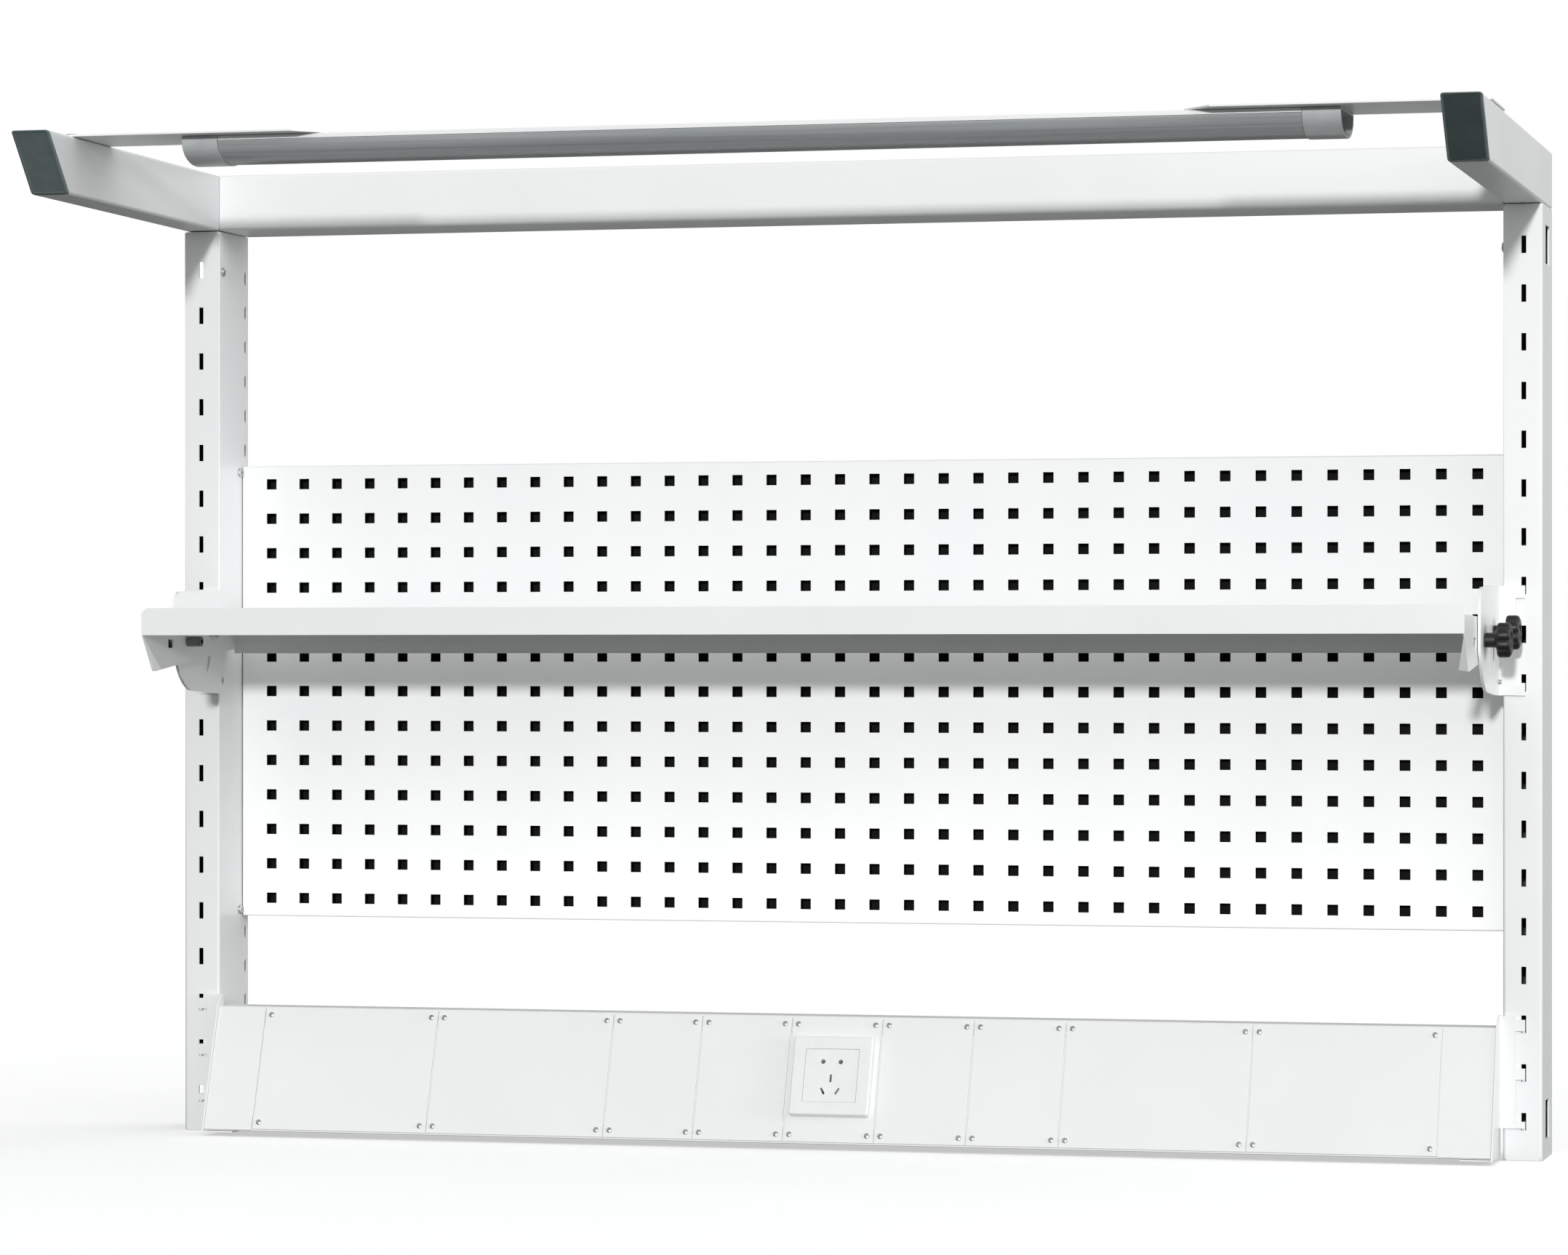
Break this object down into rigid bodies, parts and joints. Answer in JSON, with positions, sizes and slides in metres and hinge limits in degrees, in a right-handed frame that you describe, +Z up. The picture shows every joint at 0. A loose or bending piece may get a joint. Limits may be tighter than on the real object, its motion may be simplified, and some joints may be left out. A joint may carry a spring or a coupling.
{
  "type": "pegboard tool wall",
  "caption": "Workbench back rack: slotted uprights with a square-hole tool panel, tilting shelf, canopy lamp on forward arms and a socket console at the foot.",
  "frame": {"origin": "midway between the uprights, on their bottom plane, in the plane of their rear faces", "axes": "+X along the width, +Y to the wall, +Z up; the front faces -Y"},
  "size_m": [1.48, 0.579, 1.0522],
  "materials": {
    "white_steel": "white powder coat, satin",
    "cap_plastic": "dark grey-green moulded plastic",
    "knob_plastic": "black moulded plastic",
    "zinc_steel": "bright zinc plate",
    "black_steel": "black oxide",
    "lamp_lens": "milky grey diffuser, unlit",
    "lamp_plastic": "white moulded plastic",
    "light_board": "white board",
    "dark_board": "black backing sheet",
    "socket_plastic": "white moulded plastic"
  },
  "bodies": {
    "frame": {"left_upright": "white_steel", "right_upright": "white_steel", "left_arm": "white_steel", "right_arm": "white_steel", "left_arm_cap": "cap_plastic", "right_arm_cap": "cap_plastic", "left_lamp_bracket": "white_steel", "right_lamp_bracket": "white_steel", "left_lamp_bracket_bolt": "zinc_steel", "right_lamp_bracket_bolt": "zinc_steel", "left_lamp_fixing_screw": "zinc_steel", "right_lamp_fixing_screw": "zinc_steel", "left_upper_panel_screw": "zinc_steel", "right_upper_panel_screw": "zinc_steel", "left_lower_panel_screw": "zinc_steel", "right_lower_panel_screw": "zinc_steel", "left_arm_screw": "zinc_steel", "right_arm_screw": "zinc_steel", "left_shelf_bracket": "white_steel", "right_shelf_bracket": "white_steel", "left_bracket_stop_screw": "zinc_steel", "right_bracket_stop_screw": "zinc_steel", "left_console_bracket": "white_steel", "right_console_bracket": "white_steel", "cross_beam": "white_steel", "tool_panel": "white_steel", "panel_backing": "dark_board", "lamp_housing": "white_steel", "lamp_diffuser": "lamp_lens", "lamp_left_end_cap": "lamp_plastic", "lamp_right_end_cap": "lamp_plastic", "lamp_led_board": "light_board", "lamp_driver": "lamp_plastic", "console_trunking": "white_steel", "socket_plate": "socket_plastic", "socket_insert": "socket_plastic", "socket_back_box": "socket_plastic", "wide_cover_1": "white_steel", "wide_cover_2": "white_steel", "wide_cover_3": "white_steel", "wide_cover_4": "white_steel", "narrow_cover_1": "white_steel", "narrow_cover_2": "white_steel", "narrow_cover_3": "white_steel", "narrow_cover_4": "white_steel", "narrow_cover_5": "white_steel"},
    "shelf": {"tilt_shelf": "white_steel", "left_pivot_bolt": "black_steel", "right_pivot_bolt": "black_steel", "left_lock_bolt": "zinc_steel", "right_lock_bolt": "zinc_steel"},
    "left_pivot_knob": {"left_pivot_knob": "knob_plastic"},
    "right_pivot_knob": {"right_pivot_knob": "knob_plastic"},
    "left_lock_knob": {"left_lock_knob": "knob_plastic"},
    "right_lock_knob": {"right_lock_knob": "knob_plastic"}
  },
  "joints": [
    {"name": "shelf_tilt", "type": "hinge", "parent": "frame", "child": "shelf", "pos_m": [0, -0.21, 0.5335], "axis": [1, 0, 0], "range_deg": [-30, 0]},
    {"name": "left_pivot_knob_turn", "type": "hinge", "parent": "shelf", "child": "left_pivot_knob", "pos_m": [-0.7, -0.21, 0.5335], "axis": [1, 0, 0], "continuous": true},
    {"name": "right_pivot_knob_turn", "type": "hinge", "parent": "shelf", "child": "right_pivot_knob", "pos_m": [0.7, -0.21, 0.5335], "axis": [1, 0, 0], "continuous": true},
    {"name": "left_lock_knob_turn", "type": "hinge", "parent": "shelf", "child": "left_lock_knob", "pos_m": [-0.7, -0.13744, 0.54151], "axis": [1, 0, 0], "continuous": true},
    {"name": "right_lock_knob_turn", "type": "hinge", "parent": "shelf", "child": "right_lock_knob", "pos_m": [0.7, -0.13744, 0.54151], "axis": [1, 0, 0], "continuous": true}
  ]
}
